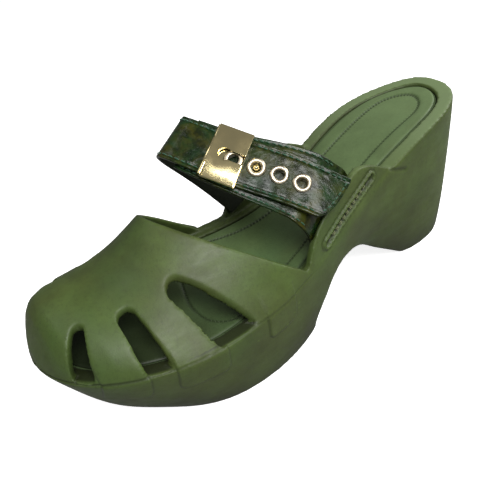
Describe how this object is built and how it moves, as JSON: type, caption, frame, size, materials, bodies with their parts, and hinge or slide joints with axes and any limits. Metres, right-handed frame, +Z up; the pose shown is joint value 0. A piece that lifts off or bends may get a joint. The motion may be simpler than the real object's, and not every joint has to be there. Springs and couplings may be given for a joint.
{
  "type": "wedge heel rubber clog",
  "caption": "Open-back rubber garden clog with a wedge heel, a toe cover with side windows, and a leather instep strap with a hinged keyhole buckle plate and eyelets",
  "frame": {"origin": "middle of the heel's flat rest on the ground", "axes": "+Z up, toe towards -Y, outer (lateral) side of the foot towards +X"},
  "size_m": [0.0983, 0.2546, 0.1098],
  "materials": {
    "sole_rubber": "satin moulded EVA rubber",
    "upper_rubber": "satin moulded EVA rubber",
    "insole_foam": "closed-cell foam",
    "insole_cover": "matte embossed sheet",
    "patent_leather": "glossy patent leather, mottled",
    "lining": "matte split leather",
    "gold_metal": "polished gold plate",
    "thread": "waxed thread",
    "ear_thread": "waxed thread"
  },
  "bodies": {
    "shoe": {"sole_wedge": "sole_rubber", "upper_shell": "upper_rubber", "insole_foam": "insole_foam", "insole_cover": "insole_cover", "long_strap_outer": "patent_leather", "long_strap_lining": "lining", "short_strap_outer": "patent_leather", "short_strap_lining": "lining", "buckle_base": "gold_metal", "hinge_pin": "gold_metal", "base_rivets": "gold_metal", "strap_stud": "gold_metal", "hidden_eyelet": "gold_metal", "hidden_washer": "gold_metal", "long_strap_stitches": "thread", "short_strap_stitches": "thread", "lateral_ear_stitches": "ear_thread", "medial_ear_stitches": "ear_thread"},
    "cover": {"buckle_cover": "gold_metal"},
    "tail": {"strap_tail_outer": "patent_leather", "strap_tail_lining": "lining", "tail_eyelets": "gold_metal", "tail_washers": "gold_metal", "tail_stitches": "thread"}
  },
  "joints": [
    {"name": "cover_swing", "type": "hinge", "parent": "shoe", "child": "cover", "pos_m": [0.00062, -0.11045, 0.09879], "axis": [0.2834, -0.7895, -0.5445], "range_deg": [0, 100]},
    {"name": "strap_tail_lift", "type": "hinge", "parent": "shoe", "child": "tail", "pos_m": [0.01183, -0.10058, 0.0909], "axis": [0.2663, -0.7475, -0.6086], "range_deg": [0, 50]}
  ]
}
